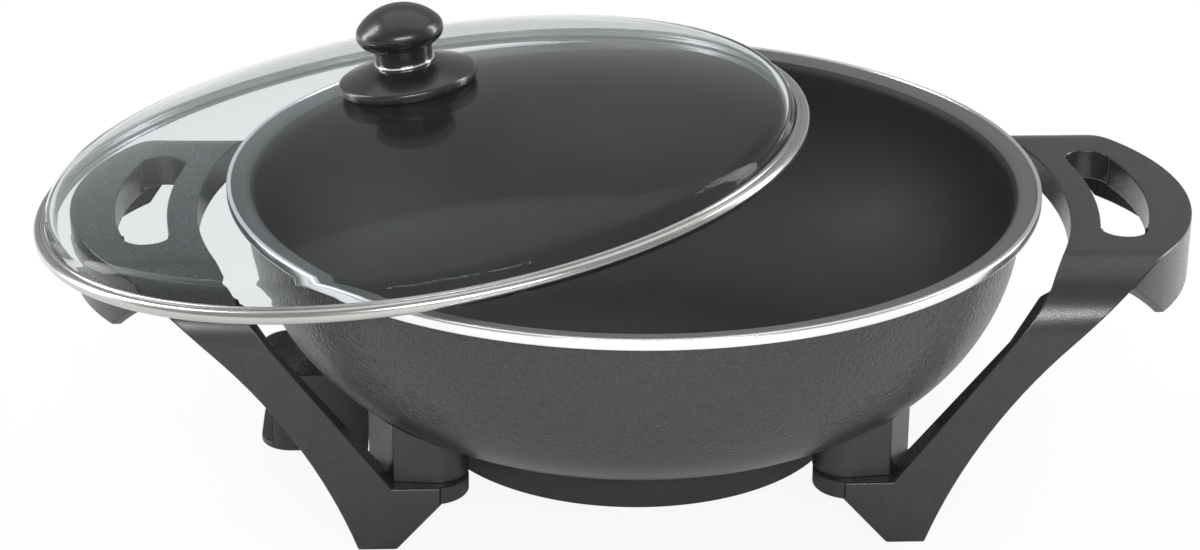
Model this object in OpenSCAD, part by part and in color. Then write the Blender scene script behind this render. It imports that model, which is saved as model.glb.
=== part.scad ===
// Electric wok: a cast pan on two mouldings that are handle and legs in one, with a loose domed lid.
// Lengths are in millimetres. The table is z = 0, the front is -y and the handles lie along x.

/* [Pan] */
// Outer diameter of the rim
rim_d = 356; // [340:1:372]
// Height of the rim's top over the table
rim_h = 135; // [128:1:145]
// Height of the rim's bright band
rim_band = 4.8; // [3:0.1:7]
// Width of the raised lip at the rim's outer edge
rim_lip = 2; // [1:0.1:3]
// Depth of the coated ledge below the lip
ledge_drop = 0.8; // [0.4:0.1:1.5]
// Radius that rounds the rim's inner edge
mouth_round = 5.5; // [3:0.5:6]
// Outer diameter of the belly just below the rim
belly_d = 340; // [330:1:345]
// Diameter of the flat underside
floor_d = 163; // [155:1:170]
// Depth from the rim's top to the flat underside
pan_depth = 99.5; // [96:0.5:104]
// Wall of the pan
pan_wall = 4; // [3:0.1:5]

/* [Base] */
// Outer diameter of the base ring at its bottom
base_d = 185; // [180:1:190]
// Widening of the base ring's radius towards the belly
base_flare = 3; // [1:0.1:4]
// Height of the base ring's bottom over the table
base_z = 17; // [14:0.5:19]
// Wall of the base ring
base_wall = 3.5; // [2.5:0.1:4.5]
// Thickness of the base cover
cover_t = 2; // [1.5:0.1:2.5]
// Radius at which the cover's screws stand
cover_screw_r = 40; // [34:1:46]

/* [Heater] */
// Diameter of the element's ring, along its middle
ring_d = 124; // [116:1:130]
// Diameter of the element's sheath
sheath_d = 6.6; // [5.5:0.1:7]
// Diameter of the heat spreader
spreader_d = 156; // [148:1:160]
// Web of the spreader below the element
spreader_web = 1.9; // [1.5:0.1:2.5]
// Distance from the pan's axis to the ends of the cold tubes
cold_end = 110; // [106:1:112]
// Distance between the two terminal pins
pin_pitch = 20; // [19:0.5:22]
// Diameter of a terminal pin
pin_d = 5; // [4:0.1:6]
// Length of a terminal pin
pin_len = 24; // [18:1:28]
// Outer diameter of the ceramic collars
seal_d = 10.5; // [9.5:0.1:11]
// Length of the ceramic collars
seal_len = 6; // [4:0.5:8]
// Bore of the probe sleeve
probe_bore = 6.2; // [5.5:0.1:6.5]
// Wall of the probe sleeve
probe_wall = 1; // [0.8:0.1:1.2]
// Length of the probe sleeve
probe_len = 42; // [38:1:44]

/* [Inlet guard] */
// Distance from the pan's axis to the guard's inner end
guard_in = 119; // [117:1:121]
// Distance from the pan's axis to the guard's outer end
guard_out = 167; // [160:1:172]
// Width of the guard
guard_w = 50; // [48:1:56]
// Height of the guard
guard_h = 37; // [34:0.5:38]
// Wall of the guard
guard_wall = 3; // [2:0.1:3.5]
// Radius of the guard's outer corners
guard_round = 14; // [8:1:18]
// Thickness of the steel strap
strap_t = 1.5; // [1.2:0.1:2]
// Width of the steel strap
strap_w = 14; // [12:0.5:15]

/* [Side pieces] */
// Reach of a grip from the pan's axis
grip_reach = 246; // [240:1:254]
// Radius of the grip's outer edge in plan
grip_edge_r = 113; // [108:1:120]
// Air gap between the rim and a grip
rim_gap = 13; // [10:0.5:15]
// Depth of the grip's top below the rim's top
grip_drop = 12; // [10:0.5:14]
// Distance from the pan's axis to a leg's outer face, front to back
leg_face = 96; // [93:0.5:99]
// Outer radius of the bend between grip and leg
bend_r = 31; // [26:1:34]
// Wall of the side mouldings
side_wall = 3.5; // [2.8:0.1:4]
// Depth of the grip's outer skirt
outer_skirt = 14; // [11:0.5:17]
// Depth of the grip's inner skirt, next to the pan
inner_skirt = 29; // [24:0.5:30]
// Depth of a leg's skirt at the bend
leg_depth_top = 6; // [5:0.5:8]
// Depth of a leg's skirt at the foot
leg_depth_foot = 13; // [11:0.5:15]
// Distance from the pan's axis to a foot's outer edge
foot_out = 121.5; // [118:0.5:126]
// Width of a foot's sole
foot_w = 16.5; // [14:0.5:20]
// How far a leg's outer edge is hollowed
leg_sag = 10.5; // [7:0.5:13]
// Distance from the pan's axis to a leg's inner edge, just over the pad
leg_root = 109; // [107:0.5:111]
// Height of a pad's underside over the table
pad_z = 21; // [19:0.5:23]
// Thickness of a pad
pad_t = 8; // [7:0.5:8.5]
// Distance from the pan's axis to a pad's inner end
pad_in = 74; // [73:0.5:76]
// Radius of a pad's inner end
pad_r = 16; // [15:0.5:17]

/* [Hand hole] */
// Width of the strip between the hand hole and the pan side
hole_strip = 13; // [11:0.5:15]
// Width of the bar that the hand holds
hole_bar = 19.5; // [17:0.5:22]
// Radius of the hand hole's outer edge in plan
hole_edge_r = 134; // [126:1:142]
// Length of the hand hole
hole_len = 102; // [96:1:106]
// Radius of the hand hole's ends
hole_end_r = 10; // [9:0.5:10.5]
// Wall round the hand hole
hole_wall = 3; // [2.5:0.1:3.5]

/* [Spacers and screws] */
// Radius of a spacer's inner end
spacer_r = 14; // [13:0.5:15]
// Distance from the pan's axis to a spacer's middle, front to back
spacer_v = 77; // [75:0.5:79]
// Distance from the pan's axis to a spacer's outer front corner
spacer_front = 106; // [104:0.5:107]
// Distance from the pan's axis to a spacer's outer rear corner
spacer_rear = 117; // [113:0.5:119]
// Radius of the cast lugs under the pan
lug_r = 6; // [5.5:0.1:6.5]
// Diameter of the screws' shanks
screw_d = 4; // [3.5:0.1:4.5]
// Diameter of the screws' heads
head_d = 8; // [7:0.1:8.5]
// Height of the screws' heads
head_t = 2.4; // [2:0.1:2.6]
// Diameter of the leg washers
washer_d = 10.5; // [9.5:0.1:11]
// Thickness of the washers
washer_t = 0.8; // [0.5:0.1:1]

/* [Lid] */
// Outer diameter of the lid's band
lid_d = 346.6; // [340:0.2:350]
// Height of the lid's band
band_h = 6; // [5.5:0.1:7]
// Sheet thickness of the lid's band
band_t = 0.7; // [0.6:0.1:0.8]
// Width of the band's lower flange
band_foot = 4.5; // [4:0.1:4.8]
// Thickness of the glass
glass_t = 4; // [3.5:0.1:4.2]
// Outer diameter of the glass shoulder
shoulder_d = 336; // [332:0.5:337]
// Radius that rounds the glass shoulder
shoulder_round = 6; // [5:0.5:8]
// Height of the glass shoulder over the band's top
shoulder_h = 9.5; // [8.5:0.5:12]
// Height of the dome over the band's top
dome_h = 34; // [30:0.5:38]
// How far the lid is pushed off the pan's axis
lid_off = 96; // [90:1:102]
// Direction in which the lid is pushed, from +x
lid_az = 168.5; // [165:0.5:173]

/* [Knob] */
// Diameter of the knob's base
knob_base_d = 61; // [54:1:66]
// Height of the knob's base at its edge
knob_edge_h = 4; // [3:0.5:5]
// Height of the knob's base at its middle
knob_base_h = 8; // [7:0.5:10]
// Diameter of the gasket below the knob
gasket_d = 48; // [40:1:50]
// Thickness of the gasket
gasket_t = 1; // [0.6:0.1:1.5]
// Diameter of the bright collar
collar_d = 26.8; // [26:0.2:30]
// Height of the bright collar
collar_h = 1.5; // [1:0.1:2.5]
// Diameter of the knob's neck
neck_d = 25; // [22:0.5:26]
// Height of the knob's neck
neck_h = 7; // [5:0.5:9]
// Diameter of the knob's head
head_knob_d = 38.6; // [34:0.2:42]
// Radius of the head's rounded side
head_side_r = 6; // [5:0.5:7]
// Height of the knob's head
head_knob_h = 18; // [16:0.5:21]

/* [Hidden] */
$fn = 96;
seat = 0.3;
slip = 0.05;
bore_gap = 0.4;
eps = 0.01;

rim_r = rim_d / 2;
belly_r = belly_d / 2;
floor_r = floor_d / 2;
turn_r = belly_r - floor_r;
under_z = rim_h - pan_depth;
turn_z = under_z + turn_r;

// Heater: everything hangs from the pan's flat underside
sheath_r = sheath_d / 2;
probe_r = probe_bore / 2 + probe_wall;
element_z = under_z - seat - max(sheath_r, probe_r);
spreader_top = under_z - seat;
spreader_z = element_z - sheath_r - spreader_web;
groove_r = sheath_r + 0.2;
ring_r = ring_d / 2;
pin_y = pin_pitch / 2;
base_r = base_d / 2;
base_top = under_z + 8;
cover_z = base_z + 1.6;
cover_top = cover_z + cover_t;
ledge_w = 5;
ledge_t = 2.5;
boss_r = 4.5;
bite = 8;

// Guard: centred on the pins' height, a little lower
guard_z = element_z - guard_h / 2 - 0.6;
guard_top = guard_z + guard_h;
strap_x = guard_in + 1 + strap_w / 2;
strap_z = element_z + pin_d / 2 + head_t + 1;
ear_t = 4;
ear_w = 8;
ear_y = guard_w / 2 - guard_wall - ear_w / 2;

// Side pieces
grip_c = grip_reach - grip_edge_r;
inner_r = rim_r + rim_gap;
crown_z = rim_h - grip_drop;
bend_z = crown_z - bend_r;
flat_v = leg_face - bend_r;
mitre_v = flat_v + bend_r * sqrt(1 / 2);
mitre_z = bend_z + bend_r * sqrt(1 / 2);
pad_top = pad_z + pad_t;
foot_in = foot_out - foot_w;
root_z = pad_top + 3;
knee_x = foot_in - (pad_z - 2);
leg_top_in = [sqrt(inner_r * inner_r - mitre_v * mitre_v), mitre_z];
leg_top_out = [grip_c + sqrt(grip_edge_r * grip_edge_r - mitre_v * mitre_v), mitre_z];
hole_in_r = inner_r + hole_strip;
hole_out_x = grip_reach - hole_bar;
hole_c = hole_out_x - hole_edge_r;
hole_end_v = hole_len / 2 - hole_end_r;
hole_end_x = (sqrt(hole_in_r * hole_in_r - hole_end_v * hole_end_v)
    + hole_c + sqrt(hole_edge_r * hole_edge_r - hole_end_v * hole_end_v)) / 2;

// Spacers and the screws that hold the legs
spacer_x = pad_in + spacer_r;
screw_x = spacer_x + 4;
lug_z = pad_top + 3;
sink_z = pad_z + washer_t + head_t + 0.6;
screw_r = screw_d / 2;
head_r = head_d / 2;

// Lid, in its own frame: z = 0 is the top of the band
lid_r = lid_d / 2;
shoulder_r = shoulder_d / 2;
cap_in = shoulder_r - shoulder_round;
cap_sag = dome_h - shoulder_h;
cap_r = (cap_in * cap_in + cap_sag * cap_sag) / (2 * cap_sag);
lip_top = -band_t - 0.1;
lip_low = lip_top - glass_t;
lip_r = lid_r - band_t - 0.9;
stem_hole = screw_r + 1;
knob_z = dome_h + gasket_t + 0.1;
collar_z = knob_z + knob_base_h;
neck_z = collar_z + collar_h;
head_z = neck_z + neck_h;
side_c = head_knob_d / 2 - head_side_r;
crown_over = head_knob_h - head_side_r;
crown_r = (side_c * side_c + crown_over * crown_over - head_side_r * head_side_r)
    / (2 * (crown_over - head_side_r));

// How the loose lid lies: its underside meets the rim where the two circles cross,
// and its glass lies on the left grip. The tilt is searched for that touch.
function cross_p(rho, h, t) =
    let (dp = lid_off - h * sin(t),
         a = -sin(t) * sin(t),
         b = 2 * dp * cos(t),
         c = dp * dp + rho * rho - rim_r * rim_r)
    (-b + sqrt(b * b - 4 * a * c)) / (2 * a);
function over_rim(rho, h, t) = cross_p(rho, h, t) * sin(t) + h * cos(t);
function lid_lift(t) = seat + max(over_rim(lid_r - band_foot, band_h, t),
    over_rim(shoulder_r - glass_t, -lip_low, t));
function glass_under(rho) = dome_h - cap_r + sqrt(pow(cap_r - glass_t, 2) - rho * rho);
function grip_gap(v, t) =
    let (gx = -grip_c - sqrt(grip_edge_r * grip_edge_r - v * v),
         dx = gx * cos(lid_az) + v * sin(lid_az) - lid_off,
         dy = -gx * sin(lid_az) + v * cos(lid_az),
         dz = -grip_drop - lid_lift(t))
    glass_under(norm([dx * cos(t) - dz * sin(t), dy])) - (dx * sin(t) + dz * cos(t));
function lid_gap(t) = min([for (v = [-70:5:70]) grip_gap(v, t)]);
function find_tilt(low, high, left) =
    let (mid = (low + high) / 2)
    left == 0 ? low : lid_gap(mid) > seat ? find_tilt(mid, high, left - 1) : find_tilt(low, mid, left - 1);
lid_tilt = find_tilt(3, 14, 16);

// The origin is the middle of the whole object's outline, so the pan's axis lies off it
lid_x = lid_off * cos(lid_az);
lid_y = lid_off * sin(lid_az);
lid_half_x = lid_r * sqrt(1 - pow(sin(lid_tilt) * cos(lid_az), 2));
lid_half_y = lid_r * sqrt(1 - pow(sin(lid_tilt) * sin(lid_az), 2));
pan_x = -(grip_reach + min(-grip_reach, lid_x - lid_half_x)) / 2;
pan_y = -(max(rim_r, lid_y + lid_half_y) - rim_r) / 2;

// ---- placing helpers ----

module at_pan() {
    translate([pan_x, pan_y, 0]) children();
}

module at_lid() {
    at_pan() translate([0, 0, rim_h]) rotate([0, 0, lid_az])
        translate([lid_off, 0, lid_lift(lid_tilt)]) rotate([0, lid_tilt, 0]) children();
}

// A flat outline in (x, y), raised from z0 to z1
module up(z0, z1) {
    translate([0, 0, z0]) linear_extrude(z1 - z0) children();
}

// A flat outline in (y, z), carried from x0 to x1
module along_x(x0, x1) {
    translate([x0, 0, 0]) rotate([90, 0, 90]) linear_extrude(x1 - x0) children();
}

// A flat outline in (x, z), carried from y0 to y1
module along_y(y0, y1) {
    translate([0, y1, 0]) rotate([90, 0, 0]) linear_extrude(y1 - y0) children();
}

// A round bar along x
module bar_x(x0, x1, r) {
    translate([x0, 0, 0]) rotate([0, 90, 0]) cylinder(h = x1 - x0, r = r);
}

// The four legs' places, from the one at the front right
module each_leg() {
    for (sx = [0, 1], sy = [0, 1])
        mirror([sx, 0, 0]) mirror([0, sy, 0]) children();
}

// ---- pan ----

// Half section of the bowl, its outside moved out by grow
module bowl_half(grow) {
    intersection() {
        translate([floor_r, turn_z]) circle(turn_r + grow, $fn = 180);
        translate([0, under_z - grow]) square([belly_r + grow, turn_r + grow]);
    }
    translate([0, under_z - grow]) square([floor_r, turn_r + grow]);
    translate([0, turn_z]) square([belly_r + grow, rim_h - turn_z]);
}

module bowl(grow) {
    rotate_extrude($fn = 180) bowl_half(grow);
}

// Half section of what is taken off the rim: the coated ledge and the rounded mouth
module rim_cut_half() {
    ledge_r = belly_r - pan_wall + mouth_round;
    translate([0, rim_h - ledge_drop]) square([rim_r - rim_lip, 2 * ledge_drop]);
    difference() {
        translate([0, rim_h - ledge_drop - mouth_round]) square([ledge_r, mouth_round + eps]);
        translate([ledge_r, rim_h - ledge_drop - mouth_round]) circle(mouth_round);
    }
}

module pan_lug(x, y) {
    translate([x, y, lug_z]) cylinder(h = turn_z - lug_z, r = lug_r);
}

module pan() {
    color("#2b2c2e") at_pan() difference() {
        union() {
            bowl(0);
            rotate_extrude($fn = 180) translate([belly_r - pan_wall, rim_h - rim_band])
                square([rim_r - belly_r + pan_wall, rim_band]);
            each_leg() pan_lug(screw_x, -spacer_v);
            translate([-strap_x, 0, strap_z + strap_t]) cylinder(h = turn_z - strap_z, r = lug_r);
        }
        bowl(-pan_wall);
        rotate_extrude($fn = 180) rim_cut_half();
        each_leg() translate([screw_x, -spacer_v, lug_z - eps]) cylinder(h = bite, r = screw_r + slip);
        translate([-strap_x, 0, strap_z]) cylinder(h = bite, r = screw_r + slip);
    }
}

// ---- heater and base ----

module heating_element() {
    turn = asin(pin_y / ring_r);
    color("#8d8f92") at_pan() translate([0, 0, element_z]) {
        rotate([0, 0, 180 + turn]) rotate_extrude(angle = 360 - 2 * turn)
            translate([ring_r, 0]) circle(sheath_r);
        for (s = [-1, 1]) translate([0, s * pin_y, 0]) {
            bar_x(-cold_end, -ring_r * cos(turn), sheath_r);
            translate([-ring_r * cos(turn), 0, 0]) sphere(sheath_r + slip);
        }
    }
}

// Slots for the element, open to the top
module spreader_slots() {
    rotate_extrude() {
        translate([ring_r, element_z]) circle(groove_r);
        translate([ring_r - groove_r, element_z]) square([2 * groove_r, sheath_d]);
    }
    for (s = [-1, 1])
        translate([-spreader_d, s * pin_y - groove_r, element_z - groove_r])
            cube([spreader_d - ring_r, 2 * groove_r, sheath_d * 2]);
    translate([-spreader_d, -probe_r - seat, element_z - probe_r - seat])
        cube([spreader_d - ring_r - groove_r, 2 * (probe_r + seat), sheath_d * 2]);
}

module cover_screw_places() {
    for (a = [60:120:300]) rotate([0, 0, a]) translate([cover_screw_r, 0, 0]) children();
}

module heat_spreader() {
    color("#b9bcc0") at_pan() difference() {
        union() {
            up(spreader_z, spreader_top) circle(spreader_d / 2);
            cover_screw_places() up(cover_top, spreader_z + eps) circle(boss_r);
        }
        spreader_slots();
        cover_screw_places() translate([0, 0, cover_top - eps])
            cylinder(h = bite, r = screw_r + slip);
    }
}

module base_ring() {
    notch_y = pin_y + groove_r + 2;
    color("#232426") at_pan() difference() {
        rotate_extrude($fn = 180) {
            polygon([[base_r, base_z], [base_r + base_flare, base_top],
                [base_r + base_flare - base_wall, base_top], [base_r - base_wall, base_z]]);
            translate([base_r - base_wall - ledge_w, cover_top + seat])
                square([ledge_w + base_wall / 2, ledge_t]);
        }
        bowl(seat);
        translate([-base_r - base_flare - 1, -notch_y, element_z - seal_d / 2 - 0.5])
            cube([base_flare + base_wall + ledge_w + 5, 2 * notch_y, base_top]);
    }
}

module base_cover() {
    color("#26272a") at_pan() difference() {
        up(cover_z, cover_top) circle(base_r - base_wall - 0.5);
        cover_screw_places() translate([0, 0, cover_z - eps])
            cylinder(h = cover_t + 2 * eps, r = screw_r + slip);
    }
}

// A screw along +z: its head's seat is z = 0 and its shank goes up
module screw(shank) {
    translate([0, 0, -head_t]) cylinder(h = head_t, r = head_r);
    cylinder(h = shank, r = screw_r);
}

module base_screws() {
    color("#a9abae") at_pan() cover_screw_places() translate([0, 0, cover_z]) screw(cover_t + bite - 1);
}

module terminal_pins() {
    color("#d6d7d9") at_pan() for (s = [-1, 1]) translate([0, s * pin_y, element_z]) {
        bar_x(-cold_end - pin_len + pin_d / 2, -cold_end, pin_d / 2);
        translate([-cold_end - pin_len + pin_d / 2, 0, 0]) sphere(pin_d / 2);
    }
}

module terminal_seals() {
    color("#e8e4da") at_pan() for (s = [-1, 1]) translate([0, s * pin_y, element_z]) difference() {
        bar_x(-cold_end, -cold_end + seal_len, seal_d / 2);
        bar_x(-cold_end - 1, -cold_end + seal_len + 1, sheath_r + slip);
    }
}

module probe_sleeve() {
    mouth = cold_end + 2;
    color("#c8cacd") at_pan() translate([0, 0, element_z]) difference() {
        bar_x(-mouth, -mouth + probe_len, probe_r);
        bar_x(-mouth - 1, -mouth + probe_len - 2, probe_bore / 2);
    }
}

// ---- inlet guard ----

// Plan of the guard, square at its inner end and round at its outer corners
module guard_plan() {
    translate([-guard_out + guard_round, -guard_w / 2])
        square([guard_out - guard_round - guard_in, guard_w]);
    translate([-guard_out, -guard_w / 2 + guard_round])
        square([guard_round * 2, guard_w - 2 * guard_round]);
    for (s = [-1, 1])
        translate([-guard_out + guard_round, s * (guard_w / 2 - guard_round)]) circle(guard_round);
}

module inlet_guard() {
    inside_w = guard_w - 2 * guard_wall;
    color("#202124") at_pan() difference() {
        union() {
            difference() {
                up(guard_z, guard_top) guard_plan();
                translate([-guard_out - 1, -inside_w / 2, guard_z + guard_wall])
                    cube([guard_out - guard_in + 2, inside_w, guard_h - 2 * guard_wall]);
            }
            for (s = [-1, 1])
                translate([-strap_x - strap_w / 2, s * ear_y - ear_w / 2 - 0.5 + s * 0.5, strap_z - ear_t])
                    cube([strap_w, ear_w + 1, ear_t]);
        }
        bowl(seat);
        translate([-strap_x, 0, strap_z]) cylinder(h = turn_z, r = lug_r + seat);
        for (s = [-1, 1])
            translate([-strap_x, s * ear_y, strap_z - ear_t - 1])
                cylinder(h = ear_t + 2, r = screw_r / 2 + slip);
    }
}

module guard_bracket() {
    strap_len = guard_w - 2 * guard_wall - 2 * seat;
    color("#9fa1a4") at_pan() difference() {
        translate([-strap_x - strap_w / 2, -strap_len / 2, strap_z])
            cube([strap_w, strap_len, strap_t]);
        translate([-strap_x, 0, strap_z - 1]) cylinder(h = strap_t + 2, r = screw_r + slip);
        for (s = [-1, 1])
            translate([-strap_x, s * ear_y, strap_z - 1])
                cylinder(h = strap_t + 2, r = screw_r / 2 + slip);
    }
}

module guard_screws() {
    color("#a9abae") at_pan() {
        translate([-strap_x, 0, strap_z]) screw(strap_t + bite - 2);
        for (s = [-1, 1]) translate([-strap_x, s * ear_y, strap_z + strap_t]) {
            translate([0, 0, -strap_t - ear_t + 1]) cylinder(h = strap_t + ear_t, r = screw_r / 2);
            cylinder(h = head_t / 2 + 0.3, r = head_r / 2);
        }
    }
}

// ---- side pieces ----

// Front section of the moulding: flat grip, round bends and upright legs, its outside moved in
module arch(inset) {
    translate([-flat_v, 0]) square([2 * flat_v, crown_z - inset]);
    translate([-leg_face + inset, 0]) square([2 * (leg_face - inset), bend_z]);
    for (s = [-1, 1]) translate([s * flat_v, bend_z]) circle(bend_r - inset);
}

// The grip's share of the section, out to the bends' mitres
module crown_zone() {
    far = bend_r + 10;
    polygon([[-flat_v, 0], [flat_v, 0], [flat_v, bend_z], [flat_v + far, bend_z + far],
        [-flat_v - far, bend_z + far], [-flat_v, bend_z]]);
}

module crown_section(depth) {
    intersection() {
        arch(0);
        crown_zone();
        translate([-2 * leg_face, crown_z - depth]) square([4 * leg_face, depth]);
    }
}

// The legs' share of the section, whose skirts grow deeper towards the feet
module leg_sections() {
    far = bend_r + 10;
    in = (bend_r - leg_depth_top) * sqrt(1 / 2);
    intersection() {
        arch(0);
        for (s = [-1, 1]) scale([s, 1]) polygon([[flat_v + in, bend_z + in],
            [leg_face - leg_depth_top, bend_z], [leg_face - leg_depth_foot, pad_top],
            [leg_face - leg_depth_foot, 0], [flat_v + far, 0], [flat_v + far, bend_z + far]]);
    }
}

module crown_plan(inset) {
    difference() {
        translate([grip_c, 0]) circle(grip_edge_r - inset, $fn = 180);
        circle(inner_r + inset, $fn = 180);
    }
}

// Centre of the circle through p and q whose arc lies sag away from the straight line
function arc_centre(p, q, sag) =
    let (c = norm(q - p) / 2, n = [p[1] - q[1], q[0] - p[0]] / norm(q - p))
    (p + q) / 2 + n * (arc_radius(p, q, sag) - sag);
function arc_radius(p, q, sag) = (pow(norm(q - p) / 2, 2) + sag * sag) / (2 * sag);

// Side view of a leg: raked blade, hollowed outer edge, foot and knee
module leg_outline() {
    difference() {
        polygon([leg_top_in, leg_top_out, [foot_out, 0], [foot_in, 0], [knee_x, pad_z],
            [knee_x, pad_top], [leg_root - 2, pad_top], [leg_root, root_z]]);
        translate(arc_centre(leg_top_out, [foot_out, 0], leg_sag))
            circle(arc_radius(leg_top_out, [foot_out, 0], leg_sag), $fn = 360);
    }
}

// The same outline less a wall at its edges
module leg_hollow_outline() {
    intersection_for (d = [[side_wall, 0], [-side_wall, 0], [0, side_wall]])
        translate(d) leg_outline();
}

module hand_hole(grow) {
    intersection() {
        difference() {
            translate([hole_c, 0]) circle(hole_edge_r + grow, $fn = 180);
            circle(hole_in_r - grow, $fn = 180);
        }
        translate([0, -hole_end_v]) square([grip_reach, 2 * hole_end_v]);
    }
    for (s = [-1, 1]) translate([hole_end_x, s * hole_end_v]) circle(hole_end_r + grow);
}

module pad_plan() {
    translate([pad_in + pad_r, -leg_face + pad_r]) circle(pad_r);
    translate([pad_in + pad_r, -leg_face]) square([foot_out - 3 - pad_in - pad_r, 2 * pad_r]);
}

module grip_shell() {
    difference() {
        union() {
            intersection() {
                along_x(pad_in, grip_reach + 1) crown_section(outer_skirt);
                up(0, rim_h) crown_plan(0);
            }
            intersection() {
                along_x(pad_in, grip_reach + 1) crown_section(inner_skirt);
                up(0, rim_h) difference() {
                    crown_plan(0);
                    circle(inner_r + side_wall, $fn = 180);
                    translate([0, -inner_r]) square([flat_v, 2 * inner_r]);
                }
            }
        }
        intersection() {
            along_x(pad_in, grip_reach + 1) intersection() {
                arch(side_wall);
                crown_zone();
            }
            up(-1, rim_h) crown_plan(side_wall);
        }
    }
}

module leg_shells() {
    difference() {
        intersection() {
            along_x(pad_in, grip_reach) leg_sections();
            along_y(-leg_face - 1, leg_face + 1) leg_outline();
        }
        intersection() {
            along_x(pad_in, grip_reach) arch(side_wall);
            along_y(-leg_face - 1, leg_face + 1) leg_hollow_outline();
        }
    }
}

module handle() {
    difference() {
        union() {
            grip_shell();
            leg_shells();
            up(crown_z - outer_skirt, crown_z) hand_hole(hole_wall);
            for (sy = [0, 1]) mirror([0, sy, 0]) up(pad_z, pad_top) pad_plan();
        }
        up(crown_z - inner_skirt, rim_h) hand_hole(0);
        for (sy = [0, 1]) mirror([0, sy, 0]) translate([screw_x, -spacer_v, 0]) {
            translate([0, 0, pad_z - 1]) cylinder(h = pad_t + 2, r = screw_r + slip);
            translate([0, 0, pad_z - 1]) cylinder(h = sink_z - pad_z + 1, r = washer_d / 2 + seat);
        }
    }
}

module right_handle() {
    color("#1d1e20") at_pan() handle();
}

module left_handle() {
    color("#1d1e20") at_pan() rotate([0, 0, 180]) handle();
}

module spacer_plan() {
    translate([spacer_x, -spacer_v]) circle(spacer_r);
    polygon([[spacer_x, -spacer_v - spacer_r], [spacer_front, -spacer_v - spacer_r + 2],
        [spacer_rear, -spacer_v + spacer_r - 3], [spacer_rear - 1, -spacer_v + spacer_r],
        [spacer_x, -spacer_v + spacer_r]]);
}

// The spacer at the front right. Its top follows the bowl.
module spacer() {
    difference() {
        up(pad_top, turn_z) spacer_plan();
        bowl(seat);
        translate([screw_x, -spacer_v, pad_top - 1]) cylinder(h = turn_z, r = lug_r + bore_gap);
    }
}

module spacer_front_right() {
    color("#2a2b2d") at_pan() spacer();
}

module spacer_rear_right() {
    color("#2a2b2d") at_pan() mirror([0, 1, 0]) spacer();
}

module spacer_front_left() {
    color("#2a2b2d") at_pan() mirror([1, 0, 0]) spacer();
}

module spacer_rear_left() {
    color("#2a2b2d") at_pan() rotate([0, 0, 180]) spacer();
}

module leg_screws() {
    color("#a9abae") at_pan() each_leg() translate([screw_x, -spacer_v, sink_z - washer_t])
        screw(lug_z + bite - 1 - sink_z + washer_t);
}

module leg_washers() {
    color("#c0c2c5") at_pan() each_leg() translate([screw_x, -spacer_v, sink_z - washer_t]) difference() {
        cylinder(h = washer_t, r = washer_d / 2);
        translate([0, 0, -1]) cylinder(h = washer_t + 2, r = screw_r + slip);
    }
}

// ---- lid ----

// Half section of the glass dome, its outside moved in
module dome_half(inset) {
    intersection() {
        translate([0, dome_h - cap_r]) circle(cap_r - inset, $fn = 720);
        translate([0, lip_low]) square([cap_in, dome_h - lip_low + 1]);
    }
    intersection() {
        translate([cap_in, shoulder_h - shoulder_round]) circle(shoulder_round - inset);
        translate([cap_in - eps, lip_low]) square([shoulder_round, dome_h]);
    }
    translate([0, lip_low - inset]) square([shoulder_r - inset, shoulder_h - shoulder_round - lip_low + inset]);
}

module lid_glass() {
    color([0.8, 0.88, 0.9, 0.35]) at_lid() rotate_extrude($fn = 180) difference() {
        union() {
            dome_half(0);
            translate([0, lip_low]) square([lip_r, glass_t]);
        }
        dome_half(glass_t);
        translate([0, 0]) square([stem_hole, dome_h + 1]);
    }
}

module lid_band() {
    roll = band_h / 2;
    color("#c9cbcd") at_lid() rotate_extrude($fn = 180) difference() {
        union() {
            translate([lid_r - roll, -roll]) circle(roll);
            translate([shoulder_r + seat, -band_h + roll]) square([lid_r - roll - shoulder_r - seat, roll]);
            translate([lid_r - band_foot, -band_h]) square([band_foot - roll, band_h]);
        }
        translate([0, lip_low - 0.1]) square([lip_r + 0.1, glass_t + 0.2]);
        translate([0, -band_h + band_t]) square([lid_r - band_foot + eps, glass_t / 2]);
    }
}

module knob_base() {
    edge = knob_base_d / 2;
    inner = gasket_d / 2 + 1;
    edge_z = dome_h - cap_r + sqrt(cap_r * cap_r - inner * inner) + seat;
    color("#141416") at_lid() rotate_extrude() polygon([[screw_r + bore_gap, knob_z],
        [inner, knob_z], [inner, edge_z], [edge, edge_z], [edge, edge_z + knob_edge_h - 1],
        [edge - 1, edge_z + knob_edge_h], [collar_d / 2 + 1, collar_z], [screw_r + bore_gap, collar_z]]);
}

module knob_gasket() {
    color("#3a3a3c") at_lid() translate([0, 0, dome_h + 0.05]) difference() {
        cylinder(h = gasket_t, r = gasket_d / 2);
        translate([0, 0, -1]) cylinder(h = gasket_t + 2, r = screw_r + bore_gap);
    }
}

module knob_collar() {
    color("#e2e3e5") at_lid() translate([0, 0, collar_z]) difference() {
        cylinder(h = collar_h, r = collar_d / 2);
        translate([0, 0, -1]) cylinder(h = collar_h + 2, r = screw_r + bore_gap);
    }
}

// Half section of the knob's head: neck, rounded side and flatter crown, all tangent
module head_half() {
    join = crown_over - crown_r;
    side_z = head_z + head_side_r;
    tangent_z = side_z + join - crown_r * join / norm([side_c, join]);
    translate([0, neck_z]) square([neck_d / 2, neck_h + head_side_r]);
    translate([side_c, side_z]) circle(head_side_r);
    translate([0, head_z]) square([side_c, tangent_z - head_z]);
    intersection() {
        translate([0, side_z + join]) circle(crown_r, $fn = 180);
        translate([0, tangent_z - eps]) square([head_knob_d, head_knob_h]);
    }
}

module knob_head() {
    color("#101012") at_lid() difference() {
        rotate_extrude() head_half();
        translate([0, 0, neck_z - 1]) cylinder(h = 1 + neck_h + bite, r = screw_r + slip);
    }
}

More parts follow.
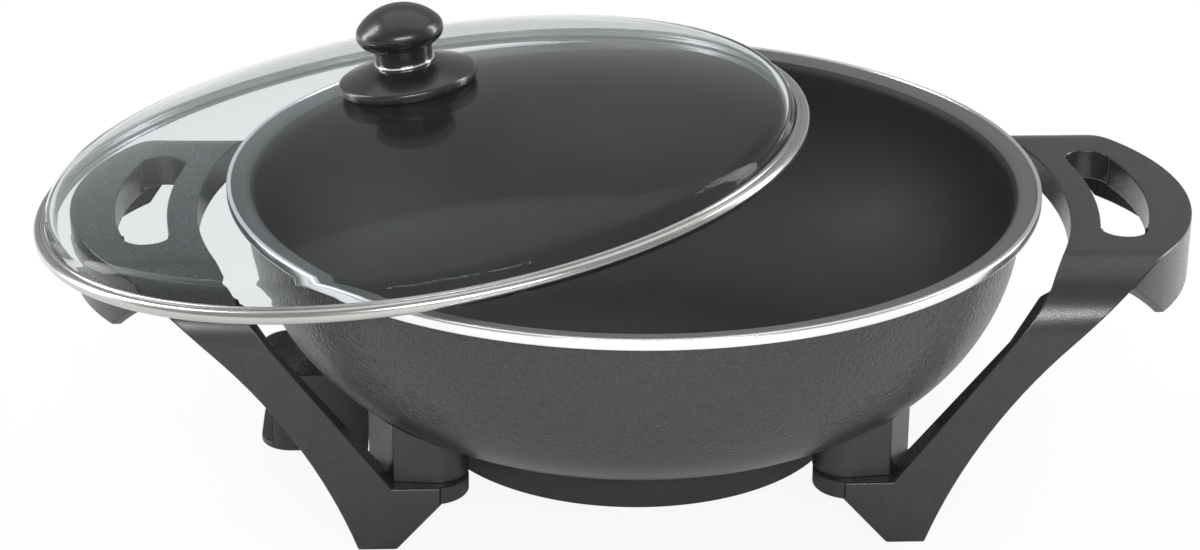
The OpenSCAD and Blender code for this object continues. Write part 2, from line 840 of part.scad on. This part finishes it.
module knob_screw() {
    seat_z = dome_h - glass_t - washer_t - 0.2;
    color("#a9abae") at_lid() translate([0, 0, seat_z]) screw(neck_z + neck_h + bite - 2 - seat_z);
}

module knob_washer() {
    color("#c0c2c5") at_lid() translate([0, 0, dome_h - glass_t - washer_t - 0.2]) difference() {
        cylinder(h = washer_t, r = washer_d / 2);
        translate([0, 0, -1]) cylinder(h = washer_t + 2, r = screw_r + slip);
    }
}

pan();
heating_element();
heat_spreader();
base_ring();
base_cover();
base_screws();
terminal_pins();
terminal_seals();
probe_sleeve();
inlet_guard();
guard_bracket();
guard_screws();
left_handle();
right_handle();
spacer_front_left();
spacer_rear_left();
spacer_front_right();
spacer_rear_right();
leg_screws();
leg_washers();
lid_glass();
lid_band();
knob_base();
knob_gasket();
knob_collar();
knob_head();
knob_screw();
knob_washer();
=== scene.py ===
import math

import bmesh
import bpy
from mathutils import Matrix, Vector


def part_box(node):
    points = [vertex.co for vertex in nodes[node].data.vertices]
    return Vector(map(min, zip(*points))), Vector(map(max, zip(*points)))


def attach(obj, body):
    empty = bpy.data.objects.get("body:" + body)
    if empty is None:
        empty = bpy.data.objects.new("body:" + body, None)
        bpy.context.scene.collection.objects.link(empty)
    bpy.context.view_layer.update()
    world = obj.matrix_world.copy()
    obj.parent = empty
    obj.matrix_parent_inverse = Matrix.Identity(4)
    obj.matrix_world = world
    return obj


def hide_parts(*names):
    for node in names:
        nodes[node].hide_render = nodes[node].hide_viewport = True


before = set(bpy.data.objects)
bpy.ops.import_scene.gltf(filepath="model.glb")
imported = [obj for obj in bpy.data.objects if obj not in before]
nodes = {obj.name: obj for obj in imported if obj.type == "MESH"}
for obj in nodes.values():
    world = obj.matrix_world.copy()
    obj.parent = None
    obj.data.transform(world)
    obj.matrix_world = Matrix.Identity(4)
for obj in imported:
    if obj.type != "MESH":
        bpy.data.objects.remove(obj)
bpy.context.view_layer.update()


# ---- Camera ----
# The photograph looks down on the wok from the front, from a good metre and a third away.
# The wok is turned a little to the left under that view.
IMAGE_W = 1200
FOCAL_PX = 3000.0
CAMERA_REACH = 1.340
LOOK_DOWN = math.radians(23.54)
PAN_RIGHT = math.radians(0.63)
ROLL = math.radians(0.7)
AIM_DROP = -0.0502
WOK_TURN = math.radians(3.3)

pan_low, pan_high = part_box("pan")
axis_x = (pan_low.x + pan_high.x) / 2
axis_y = (pan_low.y + pan_high.y) / 2
rim_z = pan_high.z
rim_r = (pan_high.x - pan_low.x) / 2

ahead = Vector((0, math.cos(LOOK_DOWN), -math.sin(LOOK_DOWN)))
above = Vector((0, math.sin(LOOK_DOWN), math.cos(LOOK_DOWN)))
side = Vector((1, 0, 0))
look = ahead * math.cos(PAN_RIGHT) - side * math.sin(PAN_RIGHT)
right = side * math.cos(PAN_RIGHT) + ahead * math.sin(PAN_RIGHT)
cam_right = right * math.cos(ROLL) + above * math.sin(ROLL)
cam_up = above * math.cos(ROLL) - right * math.sin(ROLL)
eye = Vector((0, -CAMERA_REACH * math.cos(LOOK_DOWN), CAMERA_REACH * math.sin(LOOK_DOWN) + AIM_DROP))

camera_data = bpy.data.cameras.new("camera")
camera_data.sensor_width = 36.0
camera_data.lens = FOCAL_PX / IMAGE_W * camera_data.sensor_width
camera = bpy.data.objects.new("camera", camera_data)
bpy.context.scene.collection.objects.link(camera)
turned = Matrix((cam_right, cam_up, -look)).transposed().to_4x4()
camera.matrix_world = (Matrix.Translation((axis_x, axis_y, rim_z)) @ Matrix.Rotation(-WOK_TURN, 4, "Z")
                       @ Matrix.Translation(eye) @ turned)
bpy.context.scene.camera = camera


# ---- Studio ----
# A white sweep, a broad soft light over the top, a long low softbox in front that draws a soft band
# on the bends of the legs, and a tall panel at each side for the flanks of the bowl.
scene = bpy.context.scene
scene.view_settings.view_transform = "Standard"
scene.render.film_transparent = False


def tree_of(block):
    block.use_nodes = True
    block.node_tree.nodes.clear()
    return block.node_tree


def seen_directly(tree):
    """1 where the camera or the glass looks at this surface, 0 where it only lights things."""
    path = tree.nodes.new("ShaderNodeLightPath")
    either = tree.nodes.new("ShaderNodeMath")
    either.operation = "MAXIMUM"
    tree.links.new(path.outputs["Is Camera Ray"], either.inputs[0])
    tree.links.new(path.outputs["Is Transmission Ray"], either.inputs[1])
    return either.outputs[0]


world = bpy.data.worlds.new("studio")
scene.world = world
sky = tree_of(world)
sky_out = sky.nodes.new("ShaderNodeOutputWorld")
sky_light = sky.nodes.new("ShaderNodeBackground")
sky_light.inputs["Color"].default_value = (1, 1, 1, 1)
sky_light.inputs["Strength"].default_value = 0.42
sky_white = sky.nodes.new("ShaderNodeBackground")
sky_white.inputs["Color"].default_value = (1, 1, 1, 1)
sky_white.inputs["Strength"].default_value = 1.0
sky_mix = sky.nodes.new("ShaderNodeMixShader")
sky.links.new(seen_directly(sky), sky_mix.inputs["Fac"])
sky.links.new(sky_light.outputs[0], sky_mix.inputs[1])
sky.links.new(sky_white.outputs[0], sky_mix.inputs[2])
sky.links.new(sky_mix.outputs[0], sky_out.inputs["Surface"])

FLOOR_HALF = 4.0
floor_mesh = bpy.data.meshes.new("floor")
bm = bmesh.new()
bmesh.ops.create_grid(bm, x_segments=1, y_segments=1, size=FLOOR_HALF)
bmesh.ops.translate(bm, verts=bm.verts, vec=(0, 0, -0.0002))
bm.to_mesh(floor_mesh)
bm.free()
floor = bpy.data.objects.new("floor", floor_mesh)
scene.collection.objects.link(floor)
floor_paint = bpy.data.materials.new("floor_white")
paint = tree_of(floor_paint)
paint_out = paint.nodes.new("ShaderNodeOutputMaterial")
matt = paint.nodes.new("ShaderNodeBsdfDiffuse")
matt.inputs["Color"].default_value = (0.86, 0.86, 0.86, 1)
glow = paint.nodes.new("ShaderNodeEmission")
glow.inputs["Strength"].default_value = 1.0
share = paint.nodes.new("ShaderNodeMath")
share.operation = "MULTIPLY"
share.inputs[1].default_value = 0.90
paint_mix = paint.nodes.new("ShaderNodeMixShader")
paint.links.new(seen_directly(paint), share.inputs[0])
paint.links.new(share.outputs[0], paint_mix.inputs["Fac"])
paint.links.new(matt.outputs[0], paint_mix.inputs[1])
paint.links.new(glow.outputs[0], paint_mix.inputs[2])
paint.links.new(paint_mix.outputs[0], paint_out.inputs["Surface"])
floor_mesh.materials.append(floor_paint)


def soft_light(name, size, watts, place, aim):
    lamp = bpy.data.lights.new(name, "AREA")
    lamp.shape = "RECTANGLE"
    lamp.size, lamp.size_y = size
    lamp.energy = watts
    obj = bpy.data.objects.new(name, lamp)
    scene.collection.objects.link(obj)
    obj.location = place
    obj.rotation_euler = (Vector(aim) - Vector(place)).to_track_quat("-Z", "Y").to_euler()


soft_light("over_light", (1.6, 1.2), 5, (0.0, 0.35, 1.35), (0, 0, 0.1))
soft_light("front_light", (1.3, 0.22), 24, (0.1, -1.65, 0.90), (0, 0, 0.1))
soft_light("left_panel", (0.3, 1.3), 13, (-1.25, 0.35, 0.6), (0, 0, 0.1))
soft_light("right_panel", (0.3, 1.3), 13, (1.25, 0.35, 0.6), (0, 0, 0.1))


# ---- Moulded side pieces, guard, spacers and base ring ----
# Black thermoset, satin, with the fine even grain of a spark-eroded mould and softly rounded edges.
# Each side piece is one moulding: grip, skirts and two raked legs.
def metres_mapping(tree, scale):
    where = tree.nodes.new("ShaderNodeTexCoord")
    grow = tree.nodes.new("ShaderNodeMapping")
    grow.inputs["Scale"].default_value = (scale, scale, scale)
    tree.links.new(where.outputs["Object"], grow.inputs["Vector"])
    return grow.outputs["Vector"]


def math_node(tree, operation, a, b=None, c=None):
    node = tree.nodes.new("ShaderNodeMath")
    node.operation = operation
    for slot, value in enumerate((a, b, c)):
        if value is None:
            continue
        if isinstance(value, (int, float)):
            node.inputs[slot].default_value = value
        else:
            tree.links.new(value, node.inputs[slot])
    return node.outputs[0]


def new_group(name, numbers, outputs):
    """A shader node group with number inputs and their first values, and named outputs."""
    group = bpy.data.node_groups.new(name, "ShaderNodeTree")
    for label, value in numbers.items():
        socket = group.interface.new_socket(name=label, in_out="INPUT", socket_type="NodeSocketFloat")
        socket.default_value = value
    for label in outputs:
        group.interface.new_socket(name=label, in_out="OUTPUT", socket_type="NodeSocketFloat")
    into = group.nodes.new("NodeGroupInput")
    out = group.nodes.new("NodeGroupOutput")
    return group, into, out


def noise(tree, vector, scale, detail=2.0):
    node = tree.nodes.new("ShaderNodeTexNoise")
    node.inputs["Detail"].default_value = detail
    if isinstance(scale, (int, float)):
        node.inputs["Scale"].default_value = scale
    else:
        tree.links.new(scale, node.inputs["Scale"])
    tree.links.new(vector, node.inputs["Vector"])
    return node.outputs["Fac"]


# Fine grain: a height for the bump, speckles, and a broad mottle that shifts colour and gloss a little
grain, grain_in, grain_out = new_group("fine_grain", {"Grains per metre": 1400, "Mottle per metre": 55},
                                       ["Height", "Mottle", "Speckle"])
object_place = metres_mapping(grain, 1.0)
grain.links.new(noise(grain, object_place, grain_in.outputs["Grains per metre"], 3.0), grain_out.inputs["Height"])
grain.links.new(noise(grain, object_place, grain_in.outputs["Mottle per metre"], 4.0), grain_out.inputs["Mottle"])
speckle = grain.nodes.new("ShaderNodeMapRange")
speckle.inputs["From Min"].default_value = 0.38
speckle.inputs["From Max"].default_value = 0.68
grain.links.new(noise(grain, object_place, grain_in.outputs["Grains per metre"], 1.0), speckle.inputs["Value"])
grain.links.new(speckle.outputs[0], grain_out.inputs["Speckle"])


def blank_material(name):
    material = bpy.data.materials.new(name)
    tree = tree_of(material)
    out = tree.nodes.new("ShaderNodeOutputMaterial")
    surface = tree.nodes.new("ShaderNodeBsdfPrincipled")
    tree.links.new(surface.outputs[0], out.inputs["Surface"])
    return material, tree, surface


def use_group(tree, group, **numbers):
    node = tree.nodes.new("ShaderNodeGroup")
    node.node_tree = group
    for label, value in numbers.items():
        node.inputs[label.replace("_", " ")].default_value = value
    return node


def between(tree, factor, low, high):
    """A number that runs from low to high as the factor goes from 0 to 1."""
    return math_node(tree, "MULTIPLY_ADD", factor, high - low, low)


def colour_between(tree, factor, dark, light):
    mix = tree.nodes.new("ShaderNodeMix")
    mix.data_type = "RGBA"
    for socket, value in ((mix.inputs[6], dark), (mix.inputs[7], light)):
        if isinstance(value, tuple):
            socket.default_value = (*value, 1)
        else:
            tree.links.new(value, socket)
    if isinstance(factor, (int, float)):
        mix.inputs[0].default_value = factor
    else:
        tree.links.new(factor, mix.inputs[0])
    return mix.outputs[2]


def bump(tree, surface, height, depth, strength=1.0):
    node = tree.nodes.new("ShaderNodeBump")
    node.inputs["Distance"].default_value = depth
    node.inputs["Strength"].default_value = strength
    tree.links.new(height, node.inputs["Height"])
    tree.links.new(node.outputs["Normal"], surface.inputs["Normal"])


def plastic(name, dark, light, gloss, grain_size=1400, depth=0.00004, coat=0.0):
    material, tree, surface = blank_material(name)
    fine = use_group(tree, grain, Grains_per_metre=grain_size)
    shade = math_node(tree, "ADD", math_node(tree, "MULTIPLY", fine.outputs["Mottle"], 0.4),
                      math_node(tree, "MULTIPLY", fine.outputs["Speckle"], 0.6))
    tree.links.new(colour_between(tree, shade, dark, light), surface.inputs["Base Color"])
    tree.links.new(between(tree, shade, gloss + 0.06, gloss - 0.06), surface.inputs["Roughness"])
    bump(tree, surface, fine.outputs["Height"], depth)
    surface.inputs["Coat Weight"].default_value = coat
    surface.inputs["Coat Roughness"].default_value = 0.08
    return material


def dress(names, material):
    for name in names:
        nodes[name].data.materials.clear()
        nodes[name].data.materials.append(material)


def ready(name, bm, material, body, stands_for):
    """Makes the finished piece from its mesh and hands it to its body."""
    mesh = bpy.data.meshes.new(name)
    bm.to_mesh(mesh)
    bm.free()
    for face in mesh.polygons:
        face.use_smooth = True
    mesh.materials.append(material)
    piece = bpy.data.objects.new(name, mesh)
    scene.collection.objects.link(piece)
    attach(piece, body)
    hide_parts(*stands_for)
    return piece


MOULD_EDGE = math.radians(32)


def moulded(node_name, material, edge):
    """The node's own form with the rounded edges that it has from its mould."""
    bm = bmesh.new()
    bm.from_mesh(nodes[node_name].data)
    bmesh.ops.remove_doubles(bm, verts=bm.verts, dist=0.00001)
    piece = ready(node_name + "_moulding", bm, material, "wok", [node_name])
    soft_edge = piece.modifiers.new("soft_edge", "BEVEL")
    soft_edge.width = edge
    soft_edge.segments = 3
    soft_edge.limit_method = "ANGLE"
    soft_edge.angle_limit = MOULD_EDGE
    soft_edge.use_clamp_overlap = False
    even = piece.modifiers.new("even_shading", "WEIGHTED_NORMAL")
    even.mode = "FACE_AREA"
    even.weight = 60
    even.keep_sharp = True
    return piece


side_plastic = plastic("side_plastic", (0.014, 0.014, 0.015), (0.034, 0.034, 0.036), 0.27)
moulded("left_handle", side_plastic, 0.0009)
moulded("right_handle", side_plastic, 0.0009)
moulded("inlet_guard", side_plastic, 0.0005)
spacer_plastic = plastic("spacer_plastic", (0.015, 0.015, 0.016), (0.034, 0.034, 0.036), 0.30)
for place in ("front_left", "rear_left", "front_right", "rear_right"):
    moulded("spacer_" + place, spacer_plastic, 0.0004)
base_plastic = plastic("base_plastic", (0.012, 0.012, 0.013), (0.024, 0.024, 0.025), 0.36)
dress(["base_ring"], base_plastic)
dress(["base_cover"], plastic("cover_enamel", (0.022, 0.022, 0.024), (0.032, 0.032, 0.034), 0.5, 700))


# ---- Pan ----
# Die-cast aluminium, turned as one section round its axis, with a lug under the wall for each screw.
# Outside a pebbled dark coat that runs out smooth near the base, inside matt black, the rim machined bright.
BAND = 0.0048
LIP = 0.0020
FLOOR_R = 0.0815
PAN_DEPTH = 0.0995
BELLY_R = 0.170
WALL = 0.004
RIM_DROP = 0.0008
TURNS = 192
LUGS = ((0.092, 0.077, 0.032), (0.092, -0.077, 0.032), (-0.092, 0.077, 0.032), (-0.092, -0.077, 0.032),
        (-0.127, 0.0, 0.0385))
LUG_R = 0.006
LUG_H = 0.004
turn_r = BELLY_R - FLOOR_R
under_z = rim_z - PAN_DEPTH
turn_z = under_z + turn_r


def section(bm, corners, closed=True):
    """A half section in x and z. Each corner gives its place and how far it is rounded."""
    points = [bm.verts.new((corner[0], 0, corner[1])) for corner in corners]
    for first, second in zip(points, points[1:]):
        bm.edges.new((first, second))
    if closed:
        bm.edges.new((points[-1], points[0]))
    for point, corner in zip(points, corners):
        if len(corner) > 2:
            steps = 48 if corner[2] > 0.02 else 8 if corner[2] > 0.002 else 4
            bmesh.ops.bevel(bm, geom=[point], offset=corner[2], offset_type="OFFSET", segments=steps,
                            profile=0.5, affect="VERTICES", material=-1, clamp_overlap=True)


def turn(bm, steps=TURNS):
    bmesh.ops.spin(bm, geom=bm.verts[:] + bm.edges[:], cent=(0, 0, 0), axis=(0, 0, 1), angle=2 * math.pi,
                   steps=steps, use_merge=True)
    bmesh.ops.remove_doubles(bm, verts=bm.verts, dist=0.000002)
    bmesh.ops.recalc_face_normals(bm, faces=bm.faces)


def sharp_over(piece, degrees):
    piece.data.set_sharp_from_angle(angle=math.radians(degrees))


pan_mesh = bmesh.new()
section(pan_mesh, [(0, under_z), (BELLY_R, under_z, turn_r), (BELLY_R, rim_z - BAND, 0.0006),
                   (rim_r, rim_z - BAND, 0.0009), (rim_r, rim_z, 0.0009), (rim_r - LIP, rim_z, 0.0004),
                   (rim_r - LIP, rim_z - RIM_DROP, 0.0003), (BELLY_R - WALL, rim_z - RIM_DROP, 0.0055),
                   (BELLY_R - WALL, under_z + WALL, turn_r - WALL), (0, under_z + WALL)], closed=False)
turn(pan_mesh)
for lug_x, lug_y, lug_foot in LUGS:
    made = bmesh.ops.create_cone(pan_mesh, cap_ends=True, segments=32, radius1=LUG_R, radius2=LUG_R,
                                depth=LUG_H)
    bmesh.ops.translate(pan_mesh, verts=made["verts"], vec=(lug_x, lug_y, lug_foot + LUG_H / 2))
    for vert in made["verts"]:
        if vert.co.z > lug_foot + LUG_H / 2:
            out = math.hypot(vert.co.x, vert.co.y) - FLOOR_R
            vert.co.z = turn_z - math.sqrt((turn_r - WALL / 2) ** 2 - out ** 2)
bmesh.ops.translate(pan_mesh, verts=pan_mesh.verts, vec=(axis_x, axis_y, 0))

pan_coat, tree, surface = blank_material("pan_coat")
where = tree.nodes.new("ShaderNodeTexCoord")
split = tree.nodes.new("ShaderNodeSeparateXYZ")
tree.links.new(where.outputs["Object"], split.inputs[0])
dx = math_node(tree, "SUBTRACT", split.outputs["X"], axis_x)
dy = math_node(tree, "SUBTRACT", split.outputs["Y"], axis_y)
radius = math_node(tree, "SQRT", math_node(tree, "ADD", math_node(tree, "MULTIPLY", dx, dx),
                                           math_node(tree, "MULTIPLY", dy, dy)))
height = split.outputs["Z"]
# distance from the middle line of the wall, by zone: flat, turned and upright
from_arc_r = math_node(tree, "MAXIMUM", math_node(tree, "SUBTRACT", radius, FLOOR_R), 0.0)
from_arc_z = math_node(tree, "MINIMUM", math_node(tree, "SUBTRACT", height, turn_z), 0.0)
spread = math_node(tree, "SQRT", math_node(tree, "ADD", math_node(tree, "MULTIPLY", from_arc_r, from_arc_r),
                                           math_node(tree, "MULTIPLY", from_arc_z, from_arc_z)))
inside = math_node(tree, "LESS_THAN", spread, turn_r - WALL / 2)
over_band = math_node(tree, "GREATER_THAN", height, rim_z - BAND - 0.0001)
outer_lip = math_node(tree, "GREATER_THAN", radius, rim_r - LIP - 0.0001)
wide = math_node(tree, "GREATER_THAN", radius, BELLY_R + 0.0004)
low_side = math_node(tree, "LESS_THAN", height, rim_z - 0.0015)
bright_under = math_node(tree, "MULTIPLY", wide, low_side)
bright = math_node(tree, "MULTIPLY", over_band, math_node(tree, "MAXIMUM", outer_lip, bright_under))
on_top = math_node(tree, "GREATER_THAN", height, rim_z - BAND + 0.0001)
mouth = math_node(tree, "MULTIPLY", on_top, math_node(tree, "LESS_THAN", radius, rim_r - LIP))
ledge = math_node(tree, "MULTIPLY", math_node(tree, "GREATER_THAN", height, rim_z - 0.0022),
                  math_node(tree, "LESS_THAN", radius, rim_r - LIP))
dark_inside = math_node(tree, "MAXIMUM", mouth, inside)

fine = use_group(tree, grain, Grains_per_metre=1500, Mottle_per_metre=40)
outside_colour = colour_between(tree, fine.outputs["Speckle"], (0.019, 0.019, 0.020), (0.040, 0.040, 0.042))
inside_colour = colour_between(tree, fine.outputs["Speckle"], (0.008, 0.008, 0.009), (0.016, 0.016, 0.017))
coat_colour = colour_between(tree, dark_inside, outside_colour, inside_colour)
coat_colour = colour_between(tree, math_node(tree, "MULTIPLY", ledge, 0.7), coat_colour, (0.12, 0.12, 0.12))
tree.links.new(colour_between(tree, bright, coat_colour, (0.84, 0.84, 0.85)), surface.inputs["Base Color"])
tree.links.new(bright, surface.inputs["Metallic"])

PEBBLES_PER_METRE = 640
PEBBLE_DEPTH = 0.00045
SMOOTH_UP_TO = 0.028
ROUGH_FROM = 0.044
pebbles = tree.nodes.new("ShaderNodeTexVoronoi")
pebbles.feature = "SMOOTH_F1"
pebbles.inputs["Scale"].default_value = PEBBLES_PER_METRE
pebbles.inputs["Smoothness"].default_value = 0.5
pebbles.inputs["Randomness"].default_value = 1.0
tree.links.new(where.outputs["Object"], pebbles.inputs["Vector"])
fade = tree.nodes.new("ShaderNodeMapRange")
fade.inputs["From Min"].default_value = under_z + SMOOTH_UP_TO
fade.inputs["From Max"].default_value = under_z + ROUGH_FROM
tree.links.new(height, fade.inputs["Value"])
not_inside = math_node(tree, "SUBTRACT", 1.0, math_node(tree, "MAXIMUM", bright, dark_inside))
pebble_share = math_node(tree, "MULTIPLY", fade.outputs[0], not_inside)
relief = math_node(tree, "MULTIPLY_ADD", math_node(tree, "MULTIPLY", pebbles.outputs["Distance"], pebble_share),
                   -1.0, math_node(tree, "MULTIPLY", fine.outputs["Height"], 0.05))
bump(tree, surface, relief, PEBBLE_DEPTH)
coat_rough = math_node(tree, "ADD", between(tree, dark_inside, 0.24, 0.52),
                       math_node(tree, "MULTIPLY", fine.outputs["Mottle"], 0.08))
tree.links.new(colour_between(tree, bright, coat_rough, (0.22, 0.22, 0.22)), surface.inputs["Roughness"])
pan_piece = ready("pan_casting", pan_mesh, pan_coat, "wok", ["pan"])
sharp_over(pan_piece, 40)


# ---- Metal and small parts under the pan ----
# Element, spreader, pins, sleeve, collars, strap and screws: plain trade parts, each with its own dulling.
def metal(name, dark, light, gloss, grain_size=900, depth=0.00001):
    material, tree, surface = blank_material(name)
    fine = use_group(tree, grain, Grains_per_metre=grain_size)
    tree.links.new(colour_between(tree, fine.outputs["Mottle"], dark, light), surface.inputs["Base Color"])
    tree.links.new(between(tree, fine.outputs["Mottle"], gloss - 0.06, gloss + 0.06), surface.inputs["Roughness"])
    surface.inputs["Metallic"].default_value = 1.0
    bump(tree, surface, fine.outputs["Height"], depth)
    return material


dress(["heating_element"], metal("sheath_steel", (0.30, 0.29, 0.28), (0.46, 0.45, 0.44), 0.42))
dress(["heat_spreader"], metal("cast_aluminium", (0.60, 0.60, 0.61), (0.72, 0.72, 0.73), 0.48, 500, 0.00005))
dress(["base_screws", "guard_bracket", "guard_screws", "leg_screws", "leg_washers", "knob_screw", "knob_washer"],
      metal("screw_steel", (0.55, 0.55, 0.56), (0.66, 0.66, 0.67), 0.30))
dress(["terminal_pins", "probe_sleeve"], metal("pin_steel", (0.70, 0.70, 0.71), (0.78, 0.78, 0.79), 0.16))
dress(["terminal_seals"], plastic("ceramic", (0.74, 0.71, 0.64), (0.82, 0.79, 0.73), 0.55, 900))


# ---- Lid glass ----
# Clear tempered glass, 4 mm, a flat dome with a tight rounded shoulder and a lip that the band clamps.
# The whole lid lies pushed to the left, one side on the grip and the other on the pan's rim.
LID_AZ = math.radians(168.5)
LID_TILT = math.radians(8.38167)
LID_OFF = 0.096
LID_LIFT = 0.00173769
LID_R = 0.1733
DOME_TOP = 0.034
DOME_R = 0.547842
GLASS = 0.004
SHOULDER_R = 0.1675
STEM_R = 0.003
DOME_EDGE = 0.155
LIP_R = 0.1714
LIP_TOP = -0.0008
LIP_FOOT = -0.0048
lid_place = (Matrix.Translation((axis_x, axis_y, rim_z)) @ Matrix.Rotation(LID_AZ, 4, "Z")
             @ Matrix.Translation((LID_OFF, 0, LID_LIFT)) @ Matrix.Rotation(LID_TILT, 4, "Y"))


def on_dome(x, radius):
    return DOME_TOP - DOME_R + math.sqrt(radius * radius - x * x)


def dome_line(x_first, x_last, radius, count):
    return [(x_first + (x_last - x_first) * k / count, on_dome(x_first + (x_last - x_first) * k / count, radius))
            for k in range(count + 1)]


glass_mesh = bmesh.new()
inner_r = DOME_R - GLASS
section(glass_mesh, dome_line(STEM_R, DOME_EDGE, DOME_R, 24) + [(SHOULDER_R, on_dome(SHOULDER_R, DOME_R), 0.0065)]
        + [(SHOULDER_R, LIP_TOP, 0.0006), (LIP_R, LIP_TOP), (LIP_R, LIP_FOOT), (SHOULDER_R - GLASS, LIP_FOOT)]
        + [(SHOULDER_R - GLASS, on_dome(SHOULDER_R - GLASS, inner_r), 0.0035)]
        + dome_line(DOME_EDGE, STEM_R, inner_r, 24))
turn(glass_mesh, 256)
glass_mesh.transform(lid_place)

glass_clear, tree, surface = blank_material("clear_glass")
surface.inputs["Base Color"].default_value = (0.78, 0.81, 0.82, 1)
surface.inputs["Transmission Weight"].default_value = 1.0
surface.inputs["IOR"].default_value = 1.12
fine = use_group(tree, grain, Grains_per_metre=60, Mottle_per_metre=12)
tree.links.new(between(tree, fine.outputs["Mottle"], 0.0, 0.008), surface.inputs["Roughness"])
glass_piece = ready("lid_dome", glass_mesh, glass_clear, "lid", ["lid_glass"])
sharp_over(glass_piece, 40)


# ---- Lid band ----
# Stainless strip rolled round the glass lip: a fine upper bead, a groove and a broad satin side.
BAND_IN = 0.1680
BAND_H = 0.006
STRIP = 0.0007
FOOT = 0.0045
band_mesh = bmesh.new()
section(band_mesh, [(BAND_IN, 0.0), (BAND_IN, 0.0005, 0.0003), (BAND_IN + 0.0014, 0.0005, 0.0006),
                    (BAND_IN + 0.0018, -0.0004, 0.0002), (BAND_IN + 0.0024, 0.0, 0.0002), (LID_R, 0.0, 0.0026),
                    (LID_R, -BAND_H, 0.0029), (LID_R - FOOT, -BAND_H, 0.0002), (LID_R - FOOT, -BAND_H + STRIP),
                    (LID_R - STRIP, -BAND_H + STRIP, 0.0022), (LID_R - STRIP, -STRIP, 0.0019), (BAND_IN, -STRIP)])
turn(band_mesh, 256)
band_mesh.transform(lid_place)
band_steel = metal("band_steel", (0.44, 0.435, 0.42), (0.56, 0.555, 0.54), 0.25)
band_piece = ready("lid_band_strip", band_mesh, band_steel, "lid", ["lid_band"])
sharp_over(band_piece, 40)


# ---- Knob ----
# Black satin phenolic in two mouldings, a wide base and a ball head, with a thin bright ring between them.
# One screw from under the glass holds both.
KNOB_FOOT = 0.0351
RING_FOOT = 0.0431
NECK_FOOT = 0.0446
BALL_C = (0.0133, 0.0576)
BALL_R = 0.006
CROWN_Z = 0.045859
CROWN_R = 0.023741
BASE_R = 0.0305
base_edge = on_dome(0.025, DOME_R) + 0.0003


def arc(centre, radius, first, last, count):
    return [(centre[0] + radius * math.cos(math.radians(first + (last - first) * k / count)),
             centre[1] + radius * math.sin(math.radians(first + (last - first) * k / count)))
            for k in range(count + 1)]


knob_plastic = plastic("knob_plastic", (0.008, 0.008, 0.009), (0.014, 0.014, 0.015), 0.30, 1800, 0.000008, 0.25)
base_mesh = bmesh.new()
section(base_mesh, [(0.0024, KNOB_FOOT), (0.025, KNOB_FOOT), (0.025, base_edge), (BASE_R, base_edge, 0.0006),
                    (BASE_R, base_edge + 0.004, 0.0012), (0.0152, RING_FOOT - 0.0002, 0.0006),
                    (0.0140, RING_FOOT, 0.0003), (0.0024, RING_FOOT)])
turn(base_mesh, 128)
base_mesh.transform(lid_place)
sharp_over(ready("knob_foot", base_mesh, knob_plastic, "lid", ["knob_base"]), 40)

head_mesh = bmesh.new()
section(head_mesh, [(0.00205, NECK_FOOT), (0.0125, NECK_FOOT)] + arc(BALL_C, BALL_R, -90, -2.5, 16)
        + [(BALL_C[0] + BALL_R - 0.0003, BALL_C[1])] + arc(BALL_C, BALL_R, 2.5, 41.4, 10)
        + arc((0, CROWN_Z), CROWN_R, 43.5, 90, 18) + [(0, 0.0605), (0.00205, 0.0596)], closed=False)
first_point, last_point = head_mesh.verts[:][0], head_mesh.verts[:][-1]
head_mesh.edges.new((first_point, last_point))
turn(head_mesh, 128)
head_mesh.transform(lid_place)
sharp_over(ready("knob_ball", head_mesh, knob_plastic, "lid", ["knob_head"]), 24)

ring_mesh = bmesh.new()
section(ring_mesh, [(0.0024, RING_FOOT), (0.0134, RING_FOOT, 0.0004), (0.0134, NECK_FOOT, 0.0004), (0.0024, NECK_FOOT)])
turn(ring_mesh, 128)
ring_mesh.transform(lid_place)
ring_chrome = metal("collar_chrome", (0.78, 0.78, 0.79), (0.84, 0.84, 0.85), 0.10)
sharp_over(ready("knob_ring", ring_mesh, ring_chrome, "lid", ["knob_collar"]), 40)
dress(["knob_gasket"], plastic("gasket_rubber", (0.03, 0.03, 0.03), (0.05, 0.05, 0.05), 0.7, 700))
